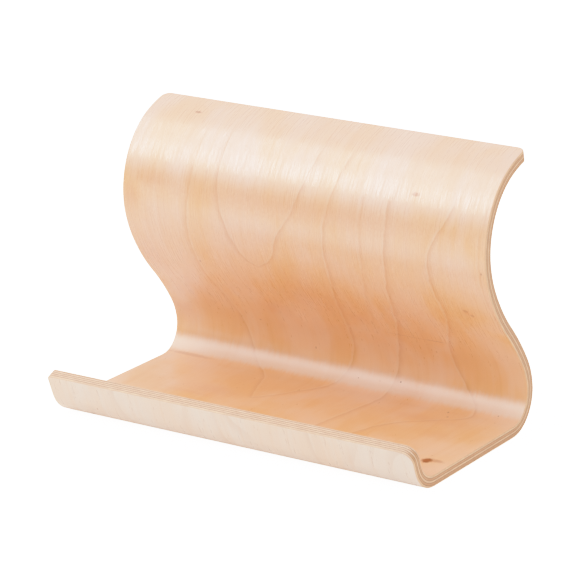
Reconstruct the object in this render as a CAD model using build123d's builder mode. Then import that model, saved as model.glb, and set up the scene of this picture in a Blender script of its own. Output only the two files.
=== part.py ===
from build123d import *
from math import copysign
import os

os.makedirs("parts", exist_ok=True)

# A desk stand press-moulded in one sheet of five birch veneers, glued to each other with four dry glue
# films. Its section is the same over the whole width. X runs across the width, -Y is the front with the
# lip, and the base lies on Z = 0. The origin is below the middle of the stand's box. Sizes are in
# millimetres and angles in degrees.

# The sheet, with its layers named from the underside and back to the user's side
WIDTH = 260.0
VENEER = 1.4
GLUE_FILM = 0.1
VENEER_NAMES = (
    "outer_face_veneer",
    "outer_cross_veneer",
    "core_veneer",
    "inner_cross_veneer",
    "inner_face_veneer",
)
GLUE_FILMS = len(VENEER_NAMES) - 1
THICKNESS = len(VENEER_NAMES) * VENEER + GLUE_FILMS * GLUE_FILM

# Its bent line, from the lip's top edge round to the top of the back. Radii are to the sheet's middle.
LIP_LEAN = 23.0
LIP_FLAT = 14.8
LIP_BEND_RADIUS = 20.7
BASE_FLAT = 100.5
# The back's arcs as (radius, turn). A positive turn bends the sheet forwards, a negative one back.
REAR_BEND = (20.2, 101.3)
BEND_EASING = (43.0, 24.0)
LOWER_BACK = (180.0, 11.0)
WAIST = (132.0, -15.2)
BULGE_START = (74.0, -14.0)
BULGE = (49.0, -82.7)
ROLLED_TOP = (84.0, -8.6)
BACK = (REAR_BEND, BEND_EASING, LOWER_BACK, WAIST, BULGE_START, BULGE, ROLLED_TOP)
TOP_FLAT = 6.0

# Sanding of the cut sheet: the radii of its corners, and the easing along the edges of both faces
TOP_CORNER = 5.5
LIP_CORNER_LEFT = 3.0
LIP_CORNER_RIGHT = 8.0
EASING = 0.7

# How far the layers are drawn past the sheet before they are trimmed to it
OVERRUN = 1.0

LIP_DIRECTION = Vector(0, -1).rotate(Axis.Z, LIP_LEAN)
TOWARDS_USER = LIP_DIRECTION.rotate(Axis.Z, 90)
LIP_BEND_TURN = 90 - LIP_LEAN


def bent_line(lip_top, inset, overrun=0.0):
    """Draws the bent line that lies inset from the sheet's middle line, towards the user's side."""
    start = lip_top + TOWARDS_USER * inset - LIP_DIRECTION * overrun
    lip = Line(start, start + LIP_DIRECTION * (LIP_FLAT + overrun))
    bend = JernArc(lip @ 1, lip % 1, LIP_BEND_RADIUS - inset, LIP_BEND_TURN)
    stretch = Line(bend @ 1, bend @ 1 + (bend % 1) * BASE_FLAT)
    for radius, turn in BACK:
        stretch = JernArc(stretch @ 1, stretch % 1, radius - inset * copysign(1, turn), turn)
    top = Line(stretch @ 1, stretch @ 1 + (stretch % 1) * (TOP_FLAT + overrun))
    return start, top @ 1


# The two faces are drawn once with the lip's top at zero, to find where the stand's box has it
with BuildLine() as trial_section:
    bent_line(Vector(0, 0), THICKNESS / 2)
    bent_line(Vector(0, 0), -THICKNESS / 2)
SECTION_BOX = trial_section.line.bounding_box()
LIP_TOP = Vector(-SECTION_BOX.center().X, -SECTION_BOX.min.Y)


def bent_section(inset_out, inset_in, overrun=0.0):
    """Makes the closed section between two insets, on the YZ plane."""
    with BuildSketch(Plane.YZ) as section:
        with BuildLine():
            lip_out, top_out = bent_line(LIP_TOP, inset_out, overrun)
            lip_in, top_in = bent_line(LIP_TOP, inset_in, overrun)
            Line(lip_out, lip_in)
            Line(top_out, top_in)
        make_face()
    return section.sketch


def thickness_edges(sheet):
    """Gives the edges that run through the sheet's thickness, from the lowest to the highest."""
    through = sheet.edges().filter_by(lambda edge: abs(edge.length - THICKNESS) < GLUE_FILM)
    return through.sort_by(Axis.Z)


# The whole pressed sheet, cut to width, with its corners rounded and both faces' edges eased
sheet_section = bent_section(-THICKNESS / 2, THICKNESS / 2)
with BuildPart() as pressed_sheet:
    extrude(sheet_section, amount=WIDTH / 2, both=True)
    fillet(thickness_edges(pressed_sheet)[-2:], TOP_CORNER)
    fillet(thickness_edges(pressed_sheet)[:2].sort_by(Axis.X)[-1], LIP_CORNER_RIGHT)
    fillet(thickness_edges(pressed_sheet)[:3].sort_by(Axis.X)[0], LIP_CORNER_LEFT)
    through = thickness_edges(pressed_sheet)
    rims = pressed_sheet.edges().filter_by(lambda edge: edge.length < WIDTH - GLUE_FILM)
    fillet(rims - through, EASING)

# Each layer is the sheet's own slice between two insets, and the outermost slices reach past the faces
layers = {}
inset = -THICKNESS / 2
for number, veneer_name in enumerate(VENEER_NAMES):
    if number:
        layers[f"glue_film_{number}"] = (inset, inset + GLUE_FILM)
        inset += GLUE_FILM
    layers[veneer_name] = (inset, inset + VENEER)
    inset += VENEER

for name, (inset_out, inset_in) in layers.items():
    if name == VENEER_NAMES[0]:
        inset_out -= OVERRUN
    if name == VENEER_NAMES[-1]:
        inset_in += OVERRUN
    slice_section = bent_section(inset_out, inset_in, OVERRUN)
    with BuildPart() as layer:
        extrude(slice_section, amount=WIDTH / 2 + OVERRUN, both=True)
        add(pressed_sheet.part, mode=Mode.INTERSECT)
    layer.part.label = name
    export_step(layer.part, f"parts/{name}.step")
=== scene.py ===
import math

import bmesh
import bpy
from mathutils import Matrix, Vector


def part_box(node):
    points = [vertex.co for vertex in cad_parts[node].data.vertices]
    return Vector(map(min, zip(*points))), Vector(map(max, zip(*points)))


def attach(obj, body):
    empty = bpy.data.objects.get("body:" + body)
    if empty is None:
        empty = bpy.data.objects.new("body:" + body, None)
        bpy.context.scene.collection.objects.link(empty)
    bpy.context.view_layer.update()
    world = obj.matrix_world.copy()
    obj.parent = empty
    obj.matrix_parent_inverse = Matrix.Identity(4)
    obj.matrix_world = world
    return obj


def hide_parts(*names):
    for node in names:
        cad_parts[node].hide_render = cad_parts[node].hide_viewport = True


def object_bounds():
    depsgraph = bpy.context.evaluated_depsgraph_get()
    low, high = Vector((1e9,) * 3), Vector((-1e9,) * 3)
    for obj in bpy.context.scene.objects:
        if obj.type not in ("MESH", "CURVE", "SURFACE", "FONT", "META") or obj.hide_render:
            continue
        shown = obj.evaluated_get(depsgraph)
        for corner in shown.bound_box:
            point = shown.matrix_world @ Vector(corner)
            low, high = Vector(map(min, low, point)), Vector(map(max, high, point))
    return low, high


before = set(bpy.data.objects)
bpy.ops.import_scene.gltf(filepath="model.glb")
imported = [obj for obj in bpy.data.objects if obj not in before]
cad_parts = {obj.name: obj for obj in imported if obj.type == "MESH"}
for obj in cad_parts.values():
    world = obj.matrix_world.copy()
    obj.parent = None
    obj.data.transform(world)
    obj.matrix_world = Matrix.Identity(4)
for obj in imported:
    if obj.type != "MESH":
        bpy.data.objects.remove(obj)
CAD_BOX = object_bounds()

# A stand press-moulded in one sheet of birch plywood. Every layer is cut as a flat plate, scored across
# where it has to bend, and then laid along the stand's bent line. Lengths are in metres.

MM = 0.001
SCENE = bpy.context.scene

# The sheet, from its outer side to the user's side
VENEER = 1.4 * MM
GLUE_FILM = 0.1 * MM
VENEERS = ("outer_face", "outer_cross", "core", "inner_cross", "inner_face")
THICKNESS = len(VENEERS) * VENEER + (len(VENEERS) - 1) * GLUE_FILM
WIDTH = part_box("core_veneer")[1].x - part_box("core_veneer")[0].x

# Its corners and the easing along its faces' rims
TOP_CORNER = 5.5 * MM
LIP_CORNER_LEFT = 3.0 * MM
LIP_CORNER_RIGHT = 8.0 * MM
CORNER_SEGMENTS = 8
EASING = 0.7 * MM
EASING_SEGMENTS = 3
RIM_RING = 0.4 * MM

# The middle line from the lip's top edge to the top of the back, as (radius, turn in degrees) for a bend
# and (length, None) for a flat. A positive turn bends the sheet forwards.
LIP_LEAN = 23.0
STRETCHES = (
    (14.8 * MM, None),
    (20.7 * MM, 90 - LIP_LEAN),
    (100.5 * MM, None),
    (20.2 * MM, 101.3),
    (43.0 * MM, 24.0),
    (180.0 * MM, 11.0),
    (132.0 * MM, -15.2),
    (74.0 * MM, -14.0),
    (49.0 * MM, -82.7),
    (84.0 * MM, -8.6),
    (6.0 * MM, None),
)
BEND_RUN_IN = 4.0 * MM
LINE_STEP = 0.25 * MM
TURN_PER_SCORE = math.radians(1.0)
LONGEST_STRIP = 8.0 * MM

# How much of the wood's pattern lies between one layer's figure and the next one's
FIGURE_SHIFT = 0.43
SMOOTH_BELOW = math.radians(40)


def stretch_length(size, turn):
    """Gives the length of one stretch of the middle line."""
    if turn is None:
        return size
    return size * math.radians(abs(turn))


LENGTHS = [stretch_length(size, turn) for size, turn in STRETCHES]
SHEET_LENGTH = sum(LENGTHS)
REAR_BEND_START = sum(LENGTHS[:3])


def pressed_heading(along):
    """Gives the middle line's direction at a distance from the lip's top, with arcs meeting abruptly."""
    heading = math.radians(LIP_LEAN - 90)
    for length, (size, turn) in zip(LENGTHS, STRETCHES):
        if turn is not None:
            heading += math.radians(turn) * min(max(along / length, 0), 1)
        along -= length
    return heading


def eased_heading(along):
    """Gives the same direction with each bend running gently into the next."""
    samples = 8
    offsets = [BEND_RUN_IN * (2 * (k + 0.5) / samples - 1) for k in range(samples)]
    return sum(pressed_heading(along + offset) for offset in offsets) / samples


def middle_line():
    """Walks along the bent line and gives its (point, heading) pairs, one for every line step."""
    steps = round(SHEET_LENGTH / LINE_STEP)
    step = SHEET_LENGTH / steps
    point = Vector((0, 0, 0))
    line = []
    for k in range(steps + 1):
        line.append((point.copy(), eased_heading(k * step)))
        between = eased_heading((k + 0.5) * step)
        point += Vector((0, math.cos(between), math.sin(between))) * step
    return line


def off_line(point, heading, depth):
    """Gives the point that lies at a depth from the middle line, towards the user's side."""
    return point + Vector((0, -math.sin(heading), math.cos(heading))) * depth


LINE = middle_line()
FACES = [off_line(p, h, side * THICKNESS / 2) for p, h in LINE for side in (-1, 1)]
LINE_SHIFT = Vector(
    (
        (CAD_BOX[0].x + CAD_BOX[1].x) / 2,
        (CAD_BOX[0].y + CAD_BOX[1].y) / 2 - (min(p.y for p in FACES) + max(p.y for p in FACES)) / 2,
        CAD_BOX[0].z - min(p.z for p in FACES),
    )
)


def bent(flat):
    """Takes a point of the flat plate, as (across, along, depth), to its place on the pressed stand."""
    position = min(max(flat.y / SHEET_LENGTH, 0), 1) * (len(LINE) - 1)
    before = min(int(position), len(LINE) - 2)
    share = position - before
    point = LINE[before][0].lerp(LINE[before + 1][0], share)
    heading = LINE[before][1] * (1 - share) + LINE[before + 1][1] * share
    place = off_line(point, heading, flat.z) + LINE_SHIFT
    place.x += flat.x
    return place


def scores():
    """Gives the distances at which a plate is scored, close together in its bends."""
    places = []
    last = 0.0
    steps = len(LINE) - 1
    for k in range(1, steps):
        turned = abs(LINE[k][1] - LINE[round(last / SHEET_LENGTH * steps)][1])
        along = k * SHEET_LENGTH / steps
        if turned > TURN_PER_SCORE or along - last > LONGEST_STRIP:
            places.append(along)
            last = along
    return places


SCORES = scores()


def round_corner(mesh, x, y, radius):
    """Rounds the plate's corner that is nearest to a point."""
    corner = min(mesh.verts, key=lambda vertex: (vertex.co - Vector((x, y, 0))).length)
    bmesh.ops.bevel(
        mesh,
        geom=[corner],
        offset=radius,
        offset_type="OFFSET",
        affect="VERTICES",
        segments=CORNER_SEGMENTS,
        profile=0.5,
        material=-1,
    )


def face_on_side(mesh, side):
    """Gives the plate's large face on its outer (-1) or user's (1) side."""
    mesh.normal_update()
    facing = [face for face in mesh.faces if face.normal.z * side > 0.5]
    return max(facing, key=lambda face: face.calc_area())


def flat_plate(low, high, eased_side):
    """Cuts one layer as a flat plate between two depths, with its face's rim eased on one side."""
    mesh = bmesh.new()
    bmesh.ops.create_grid(mesh, x_segments=1, y_segments=1, size=0.5)
    bmesh.ops.scale(mesh, vec=(WIDTH, SHEET_LENGTH, 1), verts=mesh.verts)
    bmesh.ops.translate(mesh, vec=(0, SHEET_LENGTH / 2, 0), verts=mesh.verts)
    round_corner(mesh, -WIDTH / 2, 0, LIP_CORNER_LEFT)
    round_corner(mesh, WIDTH / 2, 0, LIP_CORNER_RIGHT)
    round_corner(mesh, -WIDTH / 2, SHEET_LENGTH, TOP_CORNER)
    round_corner(mesh, WIDTH / 2, SHEET_LENGTH, TOP_CORNER)
    bmesh.ops.translate(mesh, vec=(0, 0, low), verts=mesh.verts)
    outline = mesh.faces[:]
    bmesh.ops.solidify(mesh, geom=outline, thickness=low - high)
    bmesh.ops.recalc_face_normals(mesh, faces=mesh.faces)
    if eased_side:
        bmesh.ops.bevel(
            mesh,
            geom=face_on_side(mesh, eased_side).edges[:],
            offset=EASING,
            offset_type="OFFSET",
            affect="EDGES",
            segments=EASING_SEGMENTS,
            profile=0.5,
            material=-1,
        )
        bmesh.ops.inset_region(
            mesh, faces=[face_on_side(mesh, eased_side)], thickness=RIM_RING, use_even_offset=True
        )
    for along in SCORES:
        ahead = [face for face in mesh.faces if max(v.co.y for v in face.verts) > along]
        edges = {edge for face in ahead for edge in face.edges}
        corners = {vertex for face in ahead for vertex in face.verts}
        bmesh.ops.bisect_plane(
            mesh,
            geom=ahead + list(edges) + list(corners),
            dist=LINE_STEP / 100,
            plane_co=(0, along, 0),
            plane_no=(0, 1, 0),
        )
    return mesh


def press(mesh, low, high, grain_across, shift):
    """Notes every point's place in the flat wood, and every face's cut, and then bends the plate."""
    flat_place = mesh.verts.layers.float_vector.new("flat_place")
    cut = mesh.faces.layers.float_vector.new("cut")
    mesh.normal_update()
    for vertex in mesh.verts:
        across, along, depth = vertex.co
        depth -= (low + high) / 2
        if grain_across:
            across, along = along, across
        vertex[flat_place] = Vector((across, along + shift, depth))
    for face in mesh.faces:
        x, y, z = (abs(part) for part in face.normal)
        face[cut] = Vector((y, x, z)) if grain_across else Vector((x, y, z))
    for vertex in mesh.verts:
        vertex.co = bent(vertex.co)
    mesh.normal_update()


def finished_piece(name, mesh, material):
    """Makes the object of a pressed layer."""
    data = bpy.data.meshes.new(name)
    mesh.to_mesh(data)
    mesh.free()
    data.shade_smooth()
    data.set_sharp_from_angle(angle=SMOOTH_BELOW)
    data.materials.append(material)
    piece = bpy.data.objects.new(name, data)
    SCENE.collection.objects.link(piece)
    return piece


# Node helpers


def put(tree, kind, **settings):
    """Adds a node with its settings."""
    node = tree.nodes.new(kind)
    for name, value in settings.items():
        setattr(node, name, value)
    return node


def feed(tree, socket, value):
    """Links a socket into another, or sets a plain value on it."""
    if isinstance(value, bpy.types.NodeSocket):
        tree.links.new(value, socket)
    else:
        socket.default_value = value


def calc(tree, operation, *values):
    """Adds a Math node and gives its output."""
    node = put(tree, "ShaderNodeMath", operation=operation)
    for socket, value in zip(node.inputs, values):
        feed(tree, socket, value)
    return node.outputs[0]


def split(tree, vector):
    """Gives a vector's three parts."""
    node = put(tree, "ShaderNodeSeparateXYZ")
    feed(tree, node.inputs[0], vector)
    return list(node.outputs)


def ramp(tree, value, low, high, smooth=True):
    """Gives 0 where the value is at or below low, and 1 where it is at or above high."""
    node = put(tree, "ShaderNodeMapRange")
    node.interpolation_type = "SMOOTHSTEP" if smooth else "LINEAR"
    feed(tree, node.inputs["Value"], value)
    feed(tree, node.inputs["From Min"], low)
    feed(tree, node.inputs["From Max"], high)
    return node.outputs["Result"]


def hill(tree, value, foot, top, far_top, far_foot):
    """Gives 1 where the value is between the two tops, and falls to 0 at either foot."""
    return calc(tree, "MULTIPLY", ramp(tree, value, foot, top), ramp(tree, value, far_foot, far_top))


def stretched(tree, place, size, offset=0.0):
    """Scales a place in the wood so that one unit is as long as a feature, whose size is in millimetres.
    The offset keeps two patterns of like size from falling together."""
    node = put(tree, "ShaderNodeVectorMath", operation="MULTIPLY_ADD")
    feed(tree, node.inputs[0], place)
    node.inputs[1].default_value = [1 / (length * MM) for length in size]
    node.inputs[2].default_value = (offset, offset, offset)
    return node.outputs[0]


def noise(tree, vector, detail=2.0, roughness=0.5, distortion=0.0):
    """Adds a noise of about one feature per unit and gives its value."""
    node = put(tree, "ShaderNodeTexNoise")
    feed(tree, node.inputs["Vector"], vector)
    node.inputs["Scale"].default_value = 1.0
    node.inputs["Detail"].default_value = detail
    node.inputs["Roughness"].default_value = roughness
    node.inputs["Distortion"].default_value = distortion
    return node.outputs["Fac"]


def curve_through(tree, value, points):
    """Gives the height, at a value, of the smooth curve through points that lie between 0 and 1."""
    drawn = put(tree, "ShaderNodeFloatCurve")
    curve = drawn.mapping.curves[0]
    curve.points[0].location = points[0]
    curve.points[1].location = points[-1]
    for spot in points[1:-1]:
        curve.points.new(*spot)
    drawn.mapping.update()
    feed(tree, drawn.inputs["Value"], value)
    return drawn.outputs[0]


def mixed(tree, amount, first, second, blend="MIX"):
    """Mixes two colours and gives the result."""
    node = put(tree, "ShaderNodeMix", data_type="RGBA", blend_type=blend)
    node.clamp_factor = True
    feed(tree, node.inputs[0], amount)
    feed(tree, node.inputs[6], first)
    feed(tree, node.inputs[7], second)
    return node.outputs[2]


def new_group(name, inputs, outputs):
    """Starts a shader node group with named sockets, given as (name, kind, value)."""
    tree = bpy.data.node_groups.new(name, "ShaderNodeTree")
    for title, kind, value in inputs:
        socket = tree.interface.new_socket(name=title, in_out="INPUT", socket_type=kind)
        if value is not None:
            socket.default_value = value
    for title, kind in outputs:
        tree.interface.new_socket(name=title, in_out="OUTPUT", socket_type=kind)
    return tree, put(tree, "NodeGroupInput"), put(tree, "NodeGroupOutput")


def use_group(tree, group, **values):
    """Places a node group and feeds its inputs by name, with _ for a space."""
    node = put(tree, "ShaderNodeGroup", node_tree=group)
    for name, value in values.items():
        feed(tree, node.inputs[name.replace("_", " ")], value)
    return node.outputs


def linear(red, green, blue):
    """Turns an ordinary screen colour, from 0 to 255, into a linear one."""
    parts = [part / 255 for part in (red, green, blue)]
    return [part / 12.92 if part <= 0.04045 else ((part + 0.055) / 1.055) ** 2.4 for part in parts] + [1.0]


# The wood's figure, worked out over the flat veneer's (across the grain, along the grain, depth)

FLOAT = "NodeSocketFloat"
VECTOR = "NodeSocketVector"

# The sizes of the wood's features in millimetres, as (across the grain, along the grain, depth)
WANDER = (40, 90, 40)
FIBRES = (0.7, 55, 3)
STREAKS = (3.2, 110, 9)
CLOUDS = (34, 52, 20)
STRAYING = (60, 150, 60)
LINE_FADE = (30, 80, 30)
PIN_SPACING = (15, 26, 15)
ARM_RAGS = (5, 9, 9)
SPECKLES = (0.5, 0.5, 0.35)
BLOTCHES = (6, 6, 1.5)
BRUSHED = (0.7, 22, 1)
DULL_SPOTS = (0.9, 4, 1)
DULL_PATCHES = (3, 30, 3)
MARK_RAGS = (2, 2, 9)
BRUISE_RAGS = (2, 14, 9)
GLUE_RAGS = (7, 7, 7)

# The values of each pattern at which it begins to show and at which it shows in full
CLOUD_SHOWS = (0.32, 0.68)
FIBRE_SHOWS = (0.7, 0.25)
OPEN_FIBRE_SHOWS = (0.5, 0.75)
LINE_SHOWS = (0.4, 0.65)
PORE_SHOWS = (0.62, 0.4)
BRUSHING_SHOWS = (0.32, 0.68)
GLUE_SHOWS = (0.35, 0.65)

# How far the grain sways, by how many spacings the growth lines stray, and where a line lies in its
# spacing, as (foot, top, far top, far foot)
GRAIN_SWAY = 14 * MM
LINE_STRAY = 9.0
LINE_PLACE = (0.55, 0.94, 0.95, 1.0)

# How far a pin's rim and its dark heart reach, in pin spacings, and the share of places without one
PIN_RIM = 0.045
PIN_HEART = 0.015
PINLESS = 0.7


def birch_grain_group():
    """The figure that all birch has: fine fibres, broader streaks, warm clouds, growth lines and pins."""
    tree, given, made = new_group(
        "Birch grain",
        [("Place", VECTOR, None), ("Line Spacing", FLOAT, 0.02)],
        [("Fibre", FLOAT), ("Streak", FLOAT), ("Cloud", FLOAT), ("Line", FLOAT), ("Pin", FLOAT)],
    )
    place = given.outputs["Place"]
    across, along, depth = split(tree, place)
    wander = noise(tree, stretched(tree, place, WANDER), 1.0)
    sway = calc(tree, "MULTIPLY", calc(tree, "SUBTRACT", wander, 0.5), GRAIN_SWAY)
    swayed = put(tree, "ShaderNodeCombineXYZ")
    feed(tree, swayed.inputs[0], calc(tree, "ADD", across, sway))
    feed(tree, swayed.inputs[1], along)
    feed(tree, swayed.inputs[2], depth)
    lay = swayed.outputs[0]
    fibre = noise(tree, stretched(tree, lay, FIBRES, 3.1), 2.0, 0.6)
    streak = noise(tree, stretched(tree, lay, STREAKS, 7.7), 2.0, 0.55)
    cloud = noise(tree, stretched(tree, lay, CLOUDS, 1.9), 3.0, 0.5, 0.3)
    strayed = noise(tree, stretched(tree, place, STRAYING, 5.3), 1.0)
    spacings = calc(tree, "DIVIDE", across, given.outputs["Line Spacing"])
    spacings = calc(tree, "MULTIPLY_ADD", strayed, LINE_STRAY, spacings)
    late = hill(tree, calc(tree, "FRACT", spacings), *LINE_PLACE)
    fade = ramp(tree, noise(tree, stretched(tree, place, LINE_FADE, 2.2), 1.0), *LINE_SHOWS)
    cells = put(tree, "ShaderNodeTexVoronoi", feature="F1")
    feed(tree, cells.inputs["Vector"], stretched(tree, place, PIN_SPACING, 4.4))
    cells.inputs["Scale"].default_value = 1.0
    chance = put(tree, "ShaderNodeSeparateColor")
    feed(tree, chance.inputs[0], cells.outputs["Color"])
    there = ramp(tree, chance.outputs[0], PINLESS, PINLESS + 0.05)
    pin = calc(tree, "MULTIPLY", ramp(tree, cells.outputs["Distance"], PIN_RIM, PIN_HEART), there)
    feed(tree, made.inputs["Fibre"], fibre)
    feed(tree, made.inputs["Streak"], streak)
    feed(tree, made.inputs["Cloud"], cloud)
    feed(tree, made.inputs["Line"], calc(tree, "MULTIPLY", late, fade))
    feed(tree, made.inputs["Pin"], pin)
    return tree


# The growth lines that show on the user's side, as (along, across) in millimetres. Each arm has its
# strength, and how far it fades to its left and to its right.
ARMS = (
    (
        0.9,
        4.0,
        0.7,
        ((350, -60.5), (307, -60), (287, -55), (270, -49), (260, -43.5), (256, -37)),
    ),
    (
        0.9,
        0.7,
        4.0,
        ((350, 6.7), (323, 2), (300, -5), (282, -17), (270, -22), (262, -28), (256, -37)),
    ),
    (
        0.7,
        4.0,
        0.7,
        (
            (345, -79), (310, -80), (270, -84), (230, -83), (193, -77), (160, -67), (137, -50),
            (115, -42), (97, -35),
        ),
    ),
    (
        0.8,
        0.7,
        4.0,
        (
            (350, 28), (320, 23), (293, 18), (257, 16), (223, 10), (200, 8), (170, 5), (150, -2),
            (122, -17), (105, -28), (97, -35),
        ),
    ),
    (
        0.4,
        0.8,
        3.0,
        ((330, 44), (313, 43), (277, 43), (243, 37), (223, 32), (200, 28)),
    ),
    (
        0.9,
        0.8,
        5.0,
        (
            (330, 62), (313, 61.5), (283, 60), (257, 56.5), (227, 51.5), (190, 41.5), (157, 36.5),
            (123, 33), (77, 26.5), (60, 25),
        ),
    ),
    (
        0.9,
        0.8,
        4.0,
        (
            (330, 106), (313, 103), (290, 91.5), (270, 90), (243, 92.5), (220, 86.5), (203, 81),
            (183, 81), (167, 88), (150, 98), (140, 99), (123, 83), (103, 63), (77, 53), (60, 50),
        ),
    ),
    (
        0.5,
        0.8,
        2.0,
        ((345, 128), (313, 126.5), (287, 125), (260, 127), (230, 129)),
    ),
)

# How ragged the drawn lines are, how sharply their sides fall off, how much of the sheet's length they
# start and fade over, and where their pale side lies, as (foot, top, far top, far foot)
ARM_RAGGED = 2.6 * MM
ARM_SHARPNESS = 1.6
ARM_BEFORE = 0.004
ARM_AFTER = 0.002
ARM_FADE = 0.05
PALE_SIDE = (0.2 * MM, 0.9 * MM, 1.0 * MM, 2.8 * MM)


def cathedral_group():
    """The nested growth lines of the user's side, each one an arm drawn as across against along."""
    tree, given, made = new_group(
        "Cathedral figure", [("Place", VECTOR, None)], [("Line", FLOAT), ("Pale", FLOAT)]
    )
    across, along, _ = split(tree, given.outputs["Place"])
    ragged = noise(tree, stretched(tree, given.outputs["Place"], ARM_RAGS), 2.0)
    across = calc(tree, "MULTIPLY_ADD", calc(tree, "SUBTRACT", ragged, 0.5), ARM_RAGGED, across)
    share = calc(tree, "DIVIDE", along, SHEET_LENGTH)
    lines = 0.0
    pales = 0.0
    for strength, fade_left, fade_right, points in ARMS:
        spots = sorted((up * MM / SHEET_LENGTH, right * MM / WIDTH + 0.5) for up, right in points)
        line_at = calc(tree, "MULTIPLY_ADD", curve_through(tree, share, spots), WIDTH, -WIDTH / 2)
        off = calc(tree, "SUBTRACT", across, line_at)
        left_side = ramp(tree, off, -fade_left * MM, 0.0, False)
        right_side = ramp(tree, off, fade_right * MM, 0.0, False)
        body = calc(tree, "POWER", calc(tree, "MULTIPLY", left_side, right_side), ARM_SHARPNESS)
        first = spots[0][0]
        last = spots[-1][0]
        reach = hill(tree, share, first - ARM_BEFORE, first + ARM_AFTER, last - ARM_FADE, last)
        body = calc(tree, "MULTIPLY", calc(tree, "MULTIPLY", body, reach), strength)
        sharp_side = 1 if fade_right < fade_left else -1
        pale = hill(tree, calc(tree, "MULTIPLY", off, sharp_side), *PALE_SIDE)
        pale = calc(tree, "MULTIPLY", calc(tree, "MULTIPLY", pale, reach), strength)
        lines = calc(tree, "MAXIMUM", lines, body)
        pales = calc(tree, "MAXIMUM", pales, pale)
    feed(tree, made.inputs["Line"], lines)
    feed(tree, made.inputs["Pale"], pales)
    return tree


# How far a surface faces out of the sheet where it begins to be cut wood and where it wholly is, how far
# it faces along the grain where end grain begins and is full, and how deep and ragged glue soaks in
CUT_TILTS = (0.97, 0.6)
END_GRAIN_TILTS = (0.2, 0.9)
SOAK_DEPTH = 0.14 * MM
SOAK_RAGGED = 0.12 * MM
ARRIS_GAIN = 5.0


def cut_edge_group():
    """What a sanded cut through a veneer shows: its end grain's pores, and glue soaked in at its sides."""
    tree, given, made = new_group(
        "Cut edge",
        [("Place", VECTOR, None), ("Cut", VECTOR, None), ("Half Veneer", FLOAT, VENEER / 2)],
        [("Cut", FLOAT), ("End Grain", FLOAT), ("Pores", FLOAT), ("Glue Line", FLOAT), ("Arris", FLOAT)],
    )
    place = given.outputs["Place"]
    _, end, face = split(tree, given.outputs["Cut"])
    feed(tree, made.inputs["Cut"], ramp(tree, face, *CUT_TILTS))
    feed(tree, made.inputs["End Grain"], ramp(tree, end, *END_GRAIN_TILTS))
    speckle = noise(tree, stretched(tree, place, SPECKLES), 2.0, 0.6)
    blotch = noise(tree, stretched(tree, place, BLOTCHES, 8.0), 2.0, 0.6)
    pores = calc(tree, "MULTIPLY_ADD", blotch, 0.5, calc(tree, "MULTIPLY", speckle, 0.5))
    feed(tree, made.inputs["Pores"], pores)
    depth = calc(tree, "ABSOLUTE", split(tree, place)[2])
    soaked = calc(tree, "MULTIPLY_ADD", blotch, SOAK_RAGGED, depth)
    edge = calc(tree, "SUBTRACT", given.outputs["Half Veneer"], SOAK_DEPTH)
    feed(tree, made.inputs["Glue Line"], ramp(tree, soaked, edge, given.outputs["Half Veneer"]))
    # The rounding of the eased rims, where the finishes lay a painted shade
    round_part = calc(tree, "MULTIPLY", face, calc(tree, "SUBTRACT", 1.0, face))
    arris = calc(tree, "MINIMUM", calc(tree, "MULTIPLY", round_part, ARRIS_GAIN), 1.0)
    feed(tree, made.inputs["Arris"], arris)
    return tree


# The lacquer's roughness where it is smooth, and what each thing adds to its roughness and its height
SMOOTH = 0.17
CUT_DULLING = 0.22
BRUSHED_DULLING = 0.24
SPOT_DULLING = 0.18
PATCH_DULLING = 0.14
FIBRE_HEIGHT = 0.5
SPOT_HEIGHT = 0.7
BRUSHED_HEIGHT = 0.4
PATCH_HEIGHT = 1.2


def satin_group():
    """A thin satin lacquer over open fibres, as a roughness and a height."""
    tree, given, made = new_group(
        "Satin lacquer",
        [("Place", VECTOR, None), ("Fibre", FLOAT, 0.5), ("Cut", FLOAT, 0.0), ("Brushing", FLOAT, 0.35)],
        [("Roughness", FLOAT), ("Height", FLOAT)],
    )
    place = given.outputs["Place"]
    brushed = noise(tree, stretched(tree, place, BRUSHED, 6.0), 2.0, 0.6)
    brushed = calc(tree, "SUBTRACT", ramp(tree, brushed, *BRUSHING_SHOWS, False), 0.5)
    brushed = calc(tree, "MULTIPLY", brushed, given.outputs["Brushing"])
    fine = noise(tree, stretched(tree, place, DULL_SPOTS, 6.0), 2.0, 0.6)
    broad = noise(tree, stretched(tree, place, DULL_PATCHES, 9.0), 2.0)
    worn = calc(tree, "MULTIPLY_ADD", given.outputs["Cut"], CUT_DULLING, SMOOTH)
    worn = calc(tree, "MULTIPLY_ADD", brushed, BRUSHED_DULLING, worn)
    worn = calc(tree, "MULTIPLY_ADD", fine, SPOT_DULLING, worn)
    worn = calc(tree, "MULTIPLY_ADD", broad, PATCH_DULLING, worn)
    feed(tree, made.inputs["Roughness"], worn)
    height = calc(tree, "MULTIPLY", given.outputs["Fibre"], FIBRE_HEIGHT)
    height = calc(tree, "MULTIPLY_ADD", fine, SPOT_HEIGHT, height)
    height = calc(tree, "MULTIPLY_ADD", brushed, BRUSHED_HEIGHT, height)
    height = calc(tree, "MULTIPLY_ADD", broad, PATCH_HEIGHT, height)
    feed(tree, made.inputs["Height"], height)
    return tree
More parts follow.
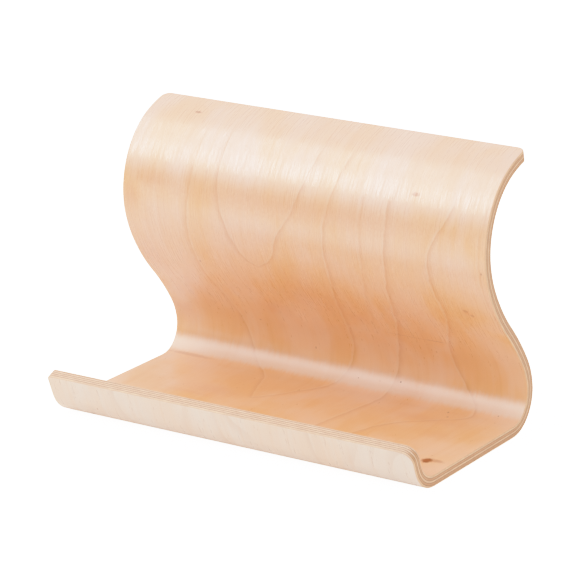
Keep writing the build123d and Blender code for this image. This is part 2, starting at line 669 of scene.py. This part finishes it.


# Marks on the user's side, and patches of painted shade among them, as (across, along, half width,
# half length, strength) in millimetres
DARK_MARKS_AND_PAINTED_SHADE = (
    (-94.0, 353.5, 3.2, 1.2, 0.55),
    (41.5, 160.5, 0.6, 0.8, 0.9),
    (11.5, 157.0, 0.5, 0.6, 0.6),
    (27.0, 158.0, 0.5, 0.5, 0.5),
    (83.5, 140.0, 0.8, 1.5, 0.55),
    (87.0, 132.5, 0.9, 1.2, 0.6),
    (114.5, 58.0, 4.4, 5.6, 1.0),
    (119.0, 60.0, 7.0, 3.4, 0.4),
    (78.0, 322.0, 3.6, 1.6, 0.4),
    (108.5, 250.0, 2.2, 1.6, 0.4),
    (112.0, 246.5, 2.0, 1.4, 0.35),
    (-22.5, 174.0, 0.6, 1.6, 0.5),
    (-61.5, 190.0, 0.9, 0.9, 0.4),
    (-66.0, 225.0, 0.8, 0.8, 0.4),
    (115.0, 148.5, 0.6, 0.8, 0.6),
    (117.0, 138.5, 0.6, 0.8, 0.5),
    (72.0, 204.5, 9.0, 0.7, 0.35),
    (52.0, 204.0, 26.0, 0.6, 0.18),
    # Painted shade: the dark line below the rear bend's highlight at the left end
    (-112.0, 146.5, 22.0, 2.5, 0.22),
)
WARM_MARKS_AND_PAINTED_SHADE = (
    (-108.0, 305.0, 26.0, 9.0, 0.45),
    (-76.0, 308.0, 20.0, 6.0, 0.3),
    # Painted shade over the left side of the hollow
    (-104.0, 205.0, 34.0, 34.0, 0.3),
    (110.0, 248.0, 7.0, 6.0, 0.35),
    (78.0, 322.0, 5.0, 2.0, 0.35),
    (50.0, 145.0, 22.0, 30.0, 0.25),
    (-62.0, 96.0, 30.0, 16.0, 0.45),
    (-5.0, 235.0, 42.0, 30.0, 0.3),
    (20.0, 215.0, 14.0, 9.0, 0.3),
    (-45.0, 208.0, 22.0, 14.0, 0.3),
    # Painted shade: a darker band across the whole width below the upper highlight
    (0.0, 302.0, 180.0, 12.0, 0.5),
    # Painted shade along the left end of the sheet
    (-124.0, 294.0, 13.0, 15.0, 0.45),
    (-122.0, 186.0, 18.0, 18.0, 0.5),
    (-120.0, 245.0, 16.0, 30.0, 0.35),
    (75.0, 122.0, 40.0, 9.0, 0.3),
    (-70.0, 86.0, 32.0, 6.0, 0.35),
    (98.0, 100.0, 16.0, 12.0, 0.25),
)

# How ragged the marks' rims are, and how much of a dark and of a warm mark is solid
MARK_RAGGED = 0.7
DARK_SOLID = 0.4
WARM_SOLID = 0.0


def marks_and_shade_group():
    """The pins, knots and warm blotches that show on the user's side, and the patches of painted shade
    among them.
    """
    tree, given, made = new_group(
        "Birch marks and shade", [("Place", VECTOR, None)], [("Dark", FLOAT), ("Warm", FLOAT)]
    )
    place = given.outputs["Place"]
    ragged = noise(tree, stretched(tree, place, MARK_RAGS))
    for output, marks_and_shade, solid in (("Dark", DARK_MARKS_AND_PAINTED_SHADE, DARK_SOLID), ("Warm", WARM_MARKS_AND_PAINTED_SHADE, WARM_SOLID)):
        shade = 0.0
        for across, along, half_width, half_length, strength in marks_and_shade:
            span = put(tree, "ShaderNodeVectorMath", operation="MULTIPLY_ADD")
            feed(tree, span.inputs[0], place)
            span.inputs[1].default_value = (1 / (half_width * MM), 1 / (half_length * MM), 0)
            span.inputs[2].default_value = (-across / half_width, -along / half_length, 0)
            away = put(tree, "ShaderNodeVectorMath", operation="LENGTH")
            feed(tree, away.inputs[0], span.outputs[0])
            even = calc(tree, "SUBTRACT", away.outputs["Value"], MARK_RAGGED / 2)
            reach = calc(tree, "MULTIPLY_ADD", ragged, MARK_RAGGED, even)
            mark = calc(tree, "MULTIPLY", ramp(tree, reach, 1.0, solid), strength)
            shade = calc(tree, "MAXIMUM", shade, mark)
        feed(tree, made.inputs[output], shade)
    return tree


# The bruised band, which is duller and whose pale colour is a painted highlight, as distances past the
# start of the rear bend, and how ragged its sides are
BRUISE_FOOT = REAR_BEND_START + 6 * MM
BRUISE_TOP = REAR_BEND_START + 13 * MM
BRUISE_FAR_TOP = REAR_BEND_START + 19 * MM
BRUISE_FAR_FOOT = REAR_BEND_START + 28 * MM
BRUISE_RAGGED = 7 * MM


def dull_bend_and_highlight_group():
    """Where the rear bend was pressed hardest, which leaves a duller band with ragged sides. Its paler
    colour is a painted highlight.
    """
    tree, given, made = new_group("Dull bend and painted highlight", [("Place", VECTOR, None)], [("Bruise And Highlight", FLOAT)])
    place = given.outputs["Place"]
    ragged = noise(tree, stretched(tree, place, BRUISE_RAGS), 3.0, 0.6)
    even = split(tree, place)[1]
    along = calc(tree, "MULTIPLY_ADD", calc(tree, "SUBTRACT", ragged, 0.5), BRUISE_RAGGED, even)
    bruise_and_highlight = hill(tree, along, BRUISE_FOOT, BRUISE_TOP, BRUISE_FAR_TOP, BRUISE_FAR_FOOT)
    feed(tree, made.inputs["Bruise And Highlight"], bruise_and_highlight)
    return tree


GRAIN = birch_grain_group()
MARKS_AND_SHADE_FIGURE = marks_and_shade_group()
CATHEDRAL = cathedral_group()
CUT_EDGE = cut_edge_group()
SATIN = satin_group()
DULL_BEND_AND_HIGHLIGHT = dull_bend_and_highlight_group()


def read(tree, name):
    """Reads one of the notes that were made on the flat plate."""
    return put(tree, "ShaderNodeAttribute", attribute_name=name).outputs["Vector"]


def new_material(name):
    """Starts a material and gives it with its tree and its shader."""
    material = bpy.data.materials.new(name)
    material.use_nodes = True
    return material, material.node_tree, material.node_tree.nodes["Principled BSDF"]


PALE = linear(243, 206, 185)
CREAM = linear(236, 214, 196)
WARM = linear(243, 189, 137)
HONEY = linear(235, 169, 99)
# The colour of the warm marks and of the painted shade patches among them
PEACH = linear(227, 164, 122)
# The pale colour of the painted highlight in the rear bend
PAINTED_HIGHLIGHT_PALE = linear(240, 222, 208)
DARKENED = (0.78, 0.64, 0.52, 1.0)
# The brown of pith, also used for the painted shade among the dark marks
PITH_AND_SHADE_BROWN = linear(158, 88, 44)
LONG_CUT = linear(238, 196, 150)
END_CUT = linear(242, 210, 178)
CROSS_LONG_CUT = linear(243, 212, 182)
CROSS_END_CUT = linear(214, 156, 106)
GLUE_STAIN = linear(180, 120, 80)
BESIDE_LINE = linear(240, 214, 190)
GLUE_DARK = linear(118, 66, 40)
GLUE_LIGHT = linear(152, 94, 62)
GLUE_ROUGHNESS = 0.4
GLUE_ROUGHNESS_SPREAD = 0.2

# Where the user's side is honey coloured, from the lip's top (0) to the top of the back (1). Mostly this
# is the heartwood, but the dip at 0.77 is a painted reflection of the table and the rise at 0.81 is
# painted shade below the upper highlight.
HEARTWOOD_AND_PAINTED_LIGHT = (
    (0.0, 0.2),
    (0.12, 0.35),
    (0.22, 0.55),
    (0.33, 0.62),
    (0.38, 0.5),
    (0.45, 0.62),
    (0.6, 0.62),
    (0.7, 0.45),
    # Painted reflection of the table: a paler dip
    (0.77, 0.32),
    # Painted shade below the upper highlight
    (0.81, 0.5),
    (0.85, 0.12),
    (0.9, 0.05),
    (1.0, 0.0),
)

# How strongly each feature colours the wood
STREAK_TONE = 0.3
HONEY_FROM = 0.75
FIBRE_DARK = 0.10
OPEN_FIBRE_DARK = 0.14
BESIDE_LINE_PALE = 0.22
DRAWN_LINE_DARK = 0.6
DRAWN_SIDE_LINES = 0.06
PLAIN_SIDE_LINES = 0.26
BRUISE_HIGHLIGHT_PAINT = 0.6
PIN_DARK = 0.7
PORE_DARK = 0.35
GLUE_LINE_DARK = 0.85
# How strongly the painted shade tints the rounding of the eased rims
ARRIS_PAINTED_SHADE = 0.55

# The lacquer: what the bruise adds to its roughness, where along the sheet its brushing has grown full,
# its relief and its refraction
BRUISE_DULLING = 0.12
BRUSHING_FULL = REAR_BEND_START + 130 * MM
RELIEF_STRENGTH = 0.5
RELIEF_HEIGHT = 0.03 * MM
LACQUER_IOR = 1.85


def birch_material(name, line_spacing, warmth, spread, palest=PALE, cuts=(LONG_CUT, END_CUT)):
    """Makes the finish of a veneer. Warmth is how honey coloured it is, from 0 to 1, or None for the
    user's side, where it follows the heartwood, with its bands of painted shade and painted reflection,
    and the drawn figure shows."""
    material, tree, shader = new_material(name)
    drawn = warmth is None
    place = read(tree, "flat_place")
    along = split(tree, place)[1]
    grain = use_group(tree, GRAIN, Place=place, Line_Spacing=line_spacing)
    edge = use_group(tree, CUT_EDGE, Place=place, Cut=read(tree, "cut"))
    if drawn:
        warmth = curve_through(tree, calc(tree, "DIVIDE", along, SHEET_LENGTH), HEARTWOOD_AND_PAINTED_LIGHT)
    tone = calc(tree, "MULTIPLY_ADD", ramp(tree, grain["Cloud"], *CLOUD_SHOWS), spread, warmth)
    streaky = calc(tree, "SUBTRACT", grain["Streak"], 0.5)
    tone = calc(tree, "MULTIPLY_ADD", streaky, STREAK_TONE, tone)
    colour = mixed(tree, tone, palest, WARM)
    colour = mixed(tree, calc(tree, "SUBTRACT", tone, HONEY_FROM), colour, HONEY)
    fibre_dark = ramp(tree, grain["Fibre"], *FIBRE_SHOWS, False)
    opening = ramp(tree, grain["Streak"], *OPEN_FIBRE_SHOWS)
    open_grain = calc(tree, "MULTIPLY_ADD", opening, OPEN_FIBRE_DARK, FIBRE_DARK)
    colour = mixed(tree, calc(tree, "MULTIPLY", fibre_dark, open_grain), colour, DARKENED, "MULTIPLY")
    if drawn:
        figure = use_group(tree, CATHEDRAL, Place=place)
        beside = calc(tree, "MULTIPLY", figure["Pale"], BESIDE_LINE_PALE)
        colour = mixed(tree, beside, colour, BESIDE_LINE)
        line = calc(tree, "MULTIPLY", figure["Line"], DRAWN_LINE_DARK)
        colour = mixed(tree, line, colour, DARKENED, "MULTIPLY")
        line = calc(tree, "MULTIPLY", grain["Line"], DRAWN_SIDE_LINES)
        colour = mixed(tree, line, colour, DARKENED, "MULTIPLY")
        bruise_and_highlight = use_group(tree, DULL_BEND_AND_HIGHLIGHT, Place=place)["Bruise And Highlight"]
        # Painted highlight: the bruised band is paler below the rear bend's reflection
        colour = mixed(tree, calc(tree, "MULTIPLY", bruise_and_highlight, BRUISE_HIGHLIGHT_PAINT), colour, PAINTED_HIGHLIGHT_PALE)
        marks_and_shade = use_group(tree, MARKS_AND_SHADE_FIGURE, Place=place)
        # Warm and dark marks, with the patches of painted shade among them
        colour = mixed(tree, marks_and_shade["Warm"], colour, PEACH)
        colour = mixed(tree, marks_and_shade["Dark"], colour, PITH_AND_SHADE_BROWN)
    else:
        line = calc(tree, "MULTIPLY", grain["Line"], PLAIN_SIDE_LINES)
        colour = mixed(tree, line, colour, DARKENED, "MULTIPLY")
    colour = mixed(tree, calc(tree, "MULTIPLY", grain["Pin"], PIN_DARK), colour, PITH_AND_SHADE_BROWN)
    side = mixed(tree, edge["End Grain"], *cuts)
    pores = calc(tree, "MULTIPLY", ramp(tree, edge["Pores"], *PORE_SHOWS), PORE_DARK)
    side = mixed(tree, pores, side, GLUE_STAIN)
    side = mixed(tree, calc(tree, "MULTIPLY", edge["Glue Line"], GLUE_LINE_DARK), side, GLUE_STAIN)
    # Painted shade: a honey tint on the rounding of the eased rims
    colour = mixed(tree, calc(tree, "MULTIPLY", edge["Arris"], ARRIS_PAINTED_SHADE), colour, HONEY)
    colour = mixed(tree, edge["Cut"], colour, side)
    satin = use_group(tree, SATIN, Place=place, Fibre=grain["Fibre"], Cut=edge["Cut"])
    dullness = satin["Roughness"]
    if drawn:
        brushing = ramp(tree, along, REAR_BEND_START, BRUSHING_FULL)
        feed(tree, satin["Roughness"].node.inputs["Brushing"], brushing)
        dullness = calc(tree, "MULTIPLY_ADD", bruise_and_highlight, BRUISE_DULLING, dullness)
    relief = put(tree, "ShaderNodeBump")
    relief.inputs["Strength"].default_value = RELIEF_STRENGTH
    relief.inputs["Distance"].default_value = RELIEF_HEIGHT
    feed(tree, relief.inputs["Height"], satin["Height"])
    feed(tree, shader.inputs["Base Color"], colour)
    feed(tree, shader.inputs["Roughness"], dullness)
    feed(tree, shader.inputs["Normal"], relief.outputs[0])
    shader.inputs["IOR"].default_value = LACQUER_IOR
    return material


CROSS_CUTS = (CROSS_LONG_CUT, CROSS_END_CUT)
CROSS_BIRCH = birch_material("Cross birch", 0.02, 0.3, 0.4, cuts=CROSS_CUTS)
FINISHES = {
    "outer_face": birch_material("Outer face birch", 0.026, 0.0, 0.25, CREAM),
    "outer_cross": CROSS_BIRCH,
    "core": birch_material("Core birch", 0.02, 0.3, 0.4),
    "inner_cross": CROSS_BIRCH,
    "inner_face": birch_material("Inner face birch", 0.03, None, 0.45),
}


def glue_material():
    """The dry glue film, a brown line that darkens where more of it was squeezed out."""
    material, tree, shader = new_material("Glue film")
    place = read(tree, "flat_place")
    squeezed = noise(tree, stretched(tree, place, GLUE_RAGS), 3.0, 0.6)
    colour = mixed(tree, ramp(tree, squeezed, *GLUE_SHOWS), GLUE_DARK, GLUE_LIGHT)
    feed(tree, shader.inputs["Base Color"], colour)
    dullness = calc(tree, "MULTIPLY_ADD", squeezed, GLUE_ROUGHNESS_SPREAD, GLUE_ROUGHNESS)
    feed(tree, shader.inputs["Roughness"], dullness)
    return material


GLUE = glue_material()


def add_layer(node, low, high, material, eased_side=0, grain_across=False, shift=0.0):
    """Makes the piece that stands for one of the sheet's layers."""
    mesh = flat_plate(low, high, eased_side)
    press(mesh, low, high, grain_across, shift)
    piece = finished_piece(node + "_pressed", mesh, material)
    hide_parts(node)
    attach(piece, "root")


low = -THICKNESS / 2
for number, veneer in enumerate(VENEERS):
    if number:
        add_layer(f"glue_film_{number}", low, low + GLUE_FILM, GLUE, shift=number)
        low += GLUE_FILM
    eased_side = {"outer_face": -1, "inner_face": 1}.get(veneer, 0)
    crossed = veneer.endswith("cross")
    shift = 0.0 if veneer == "inner_face" else (number + 1) * FIGURE_SHIFT
    high = low + VENEER
    add_layer(veneer + "_veneer", low, high, FINISHES[veneer], eased_side, crossed, shift)
    low = high


# The table, the light and the camera

DAYLIGHT = (0.94, 0.97, 1.02)
TABLE_RADIUS = 12.0
TABLE_GAP = 0.02 * MM
TABLE_WHITE = (0.86, 0.86, 0.86, 1)
TABLE_ROUGHNESS = 0.7
TABLE_GLOW = 0.2
TABLE_GLOW_IN_VIEW = 1.15

# The softboxes, as (name, how far to the right, rise in degrees, distance, width, height, radiance)
SOFTBOXES = (
    ("key_softbox", -1.5, 47.5, 2.6, 1.3, 1.25, 4.4),
    ("upper_softbox", -1.5, 77.5, 2.6, 1.3, 1.4, 2.2),
    ("front_fill", 0.9, 13.0, 2.2, 1.8, 0.9, 0.4),
)


def add_floor():
    """Lays the plain pale table that the stand is on."""
    mesh = bmesh.new()
    bmesh.ops.create_circle(mesh, cap_ends=True, segments=64, radius=TABLE_RADIUS)
    bmesh.ops.translate(mesh, vec=(0, 0, CAD_BOX[0].z - TABLE_GAP), verts=mesh.verts)
    data = bpy.data.meshes.new("table_top")
    mesh.to_mesh(data)
    mesh.free()
    material, tree, shader = new_material("White table")
    shader.inputs["Base Color"].default_value = TABLE_WHITE
    shader.inputs["Roughness"].default_value = TABLE_ROUGHNESS
    shader.inputs["Emission Color"].default_value = (1, 1, 1, 1)
    seen = put(tree, "ShaderNodeLightPath").outputs["Is Camera Ray"]
    glow = calc(tree, "MULTIPLY_ADD", seen, TABLE_GLOW_IN_VIEW, TABLE_GLOW)
    feed(tree, shader.inputs["Emission Strength"], glow)
    data.materials.append(material)
    floor = bpy.data.objects.new("table_top", data)
    SCENE.collection.objects.link(floor)


def add_softbox(name, side, rise, distance, width, height, radiance):
    """Hangs a softbox whose edges lie across the stand, so that its reflection runs straight across the
    wood. Rise is its angle above the table as seen from the stand's end, and radiance its brightness."""
    middle = (CAD_BOX[0] + CAD_BOX[1]) / 2
    light = bpy.data.lights.new(name, "AREA")
    light.shape = "RECTANGLE"
    light.size = width
    light.size_y = height
    light.color = DAYLIGHT
    light.energy = radiance * math.pi * width * height
    box = bpy.data.objects.new(name, light)
    across = Vector((1, 0, 0))
    away = Vector((0, -math.cos(math.radians(rise)), math.sin(math.radians(rise))))
    turned = Matrix((across, away.cross(across), away)).transposed().to_4x4()
    box.matrix_world = Matrix.Translation(middle + across * side + away * distance) @ turned
    box.visible_camera = False
    SCENE.collection.objects.link(box)


def add_surroundings(front, around, overhead):
    """Surrounds the scene with a plain studio that has its own brightness in front, around and above."""
    world = bpy.data.worlds.new("studio")
    world.use_nodes = True
    tree = world.node_tree
    direction = put(tree, "ShaderNodeTexCoord").outputs["Generated"]
    rightwards, backwards, upwards = split(tree, direction)
    background = tree.nodes["Background"]
    background.inputs["Color"].default_value = (1, 1, 1, 1)
    beside = ramp(tree, rightwards, 0.1, 0.7)
    behind = ramp(tree, backwards, 0.0, 0.5)
    level = calc(tree, "MULTIPLY_ADD", calc(tree, "MAXIMUM", beside, behind), around - front, front)
    lift = calc(tree, "SUBTRACT", overhead, level)
    above = calc(tree, "MULTIPLY", ramp(tree, upwards, 0.15, 0.8), lift)
    feed(tree, background.inputs["Strength"], calc(tree, "ADD", level, above))
    SCENE.world = world


CAMERA_TURN = math.radians(31.528)
CAMERA_RISE = math.radians(17.144)
CAMERA_ROLL = math.radians(0.551)
CAMERA_DISTANCE = 1.89442
CAMERA_AIM = Vector((3.42, -5.93, 88.69)) * MM
CAMERA_LENS = 192.49
SENSOR = 36.0


def add_camera():
    """Sets the camera in front of the stand, to its right and a little above it."""
    camera = bpy.data.cameras.new("camera")
    camera.sensor_width = SENSOR
    camera.lens = CAMERA_LENS
    camera.clip_start = 0.05
    camera.clip_end = 50.0
    back = Vector(
        (
            math.sin(CAMERA_TURN) * math.cos(CAMERA_RISE),
            -math.cos(CAMERA_TURN) * math.cos(CAMERA_RISE),
            math.sin(CAMERA_RISE),
        )
    )
    right = Vector((math.cos(CAMERA_TURN), math.sin(CAMERA_TURN), 0))
    up = back.cross(right)
    rolled_right = right * math.cos(CAMERA_ROLL) + up * math.sin(CAMERA_ROLL)
    rolled_up = up * math.cos(CAMERA_ROLL) - right * math.sin(CAMERA_ROLL)
    holder = bpy.data.objects.new("camera", camera)
    turned = Matrix((rolled_right, rolled_up, back)).transposed().to_4x4()
    holder.matrix_world = Matrix.Translation(CAMERA_AIM + back * CAMERA_DISTANCE) @ turned
    SCENE.collection.objects.link(holder)
    SCENE.camera = holder


# How bright light is shown, as (brightness, shown), so that highlights whiten before they are full
SHOULDER = ((0.0, 0.0), (0.7, 0.7), (0.85, 0.80), (1.0, 0.87), (1.2, 0.93), (1.5, 0.975), (2.0, 1.0))


def soften_highlights():
    """Shows the scene plainly, but with its brightest part pressed together."""
    view = SCENE.view_settings
    view.view_transform = "Standard"
    view.use_curve_mapping = True
    mapping = view.curve_mapping
    brightest = SHOULDER[-1][0]
    mapping.white_level = (brightest, brightest, brightest)
    curve = mapping.curves[3]
    curve.points[0].location = SHOULDER[0]
    curve.points[1].location = (1.0, SHOULDER[-1][1])
    for bright, shown in SHOULDER[1:-1]:
        curve.points.new(bright / brightest, shown)
    mapping.update()


add_floor()
add_surroundings(front=0.30, around=0.75, overhead=0.95)
for softbox in SOFTBOXES:
    add_softbox(*softbox)
add_camera()
soften_highlights()
